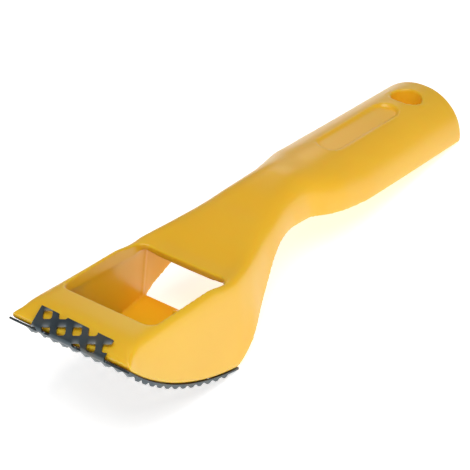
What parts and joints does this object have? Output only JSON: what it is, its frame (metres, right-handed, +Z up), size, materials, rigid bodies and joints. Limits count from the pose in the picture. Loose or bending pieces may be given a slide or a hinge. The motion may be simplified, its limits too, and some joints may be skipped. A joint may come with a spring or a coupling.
{
  "type": "pull shaver",
  "caption": "One-hand pull shaver: plastic handle and open head frame with a perforated toothed steel blade hooked over the lip and clamped at the heel.",
  "frame": {"origin": "under the middle of the tool's box, on the surface it lies on, blade down", "axes": "+X from the head's lip to the handle's end, +Y across the blade, +Z up"},
  "size_m": [0.1912, 0.0412, 0.0418],
  "materials": {
    "body_plastic": "glossy moulded yellow, slightly translucent",
    "blade_steel": "blued spring steel",
    "plated_steel": "bright zinc plate"
  },
  "bodies": {
    "body": {"body": "body_plastic", "clamp_nut": "plated_steel"},
    "blade": {"rasp_blade": "blade_steel"},
    "plate": {"clamp_plate": "plated_steel"},
    "screw": {"clamp_screw": "plated_steel"}
  },
  "joints": [
    {"name": "blade_swing", "type": "hinge", "parent": "body", "child": "blade", "pos_m": [-0.09396, 0, 0.03754], "axis": [0, 1, 0], "range_deg": [0, 4.5]},
    {"name": "clamp_slide", "type": "slide", "parent": "body", "child": "plate", "axis": [0.8573, 0, -0.5148], "range_m": [0, 0.0025]},
    {"name": "screw_turn", "type": "hinge", "parent": "plate", "child": "screw", "pos_m": [-0.0385, 0, 0.00423], "axis": [0.8573, 0, -0.5148], "range_deg": [0, 1800]}
  ],
  "couplings": [
    {"joint": "screw_turn", "follows": "clamp_slide", "rad_per_m": 12566}
  ]
}
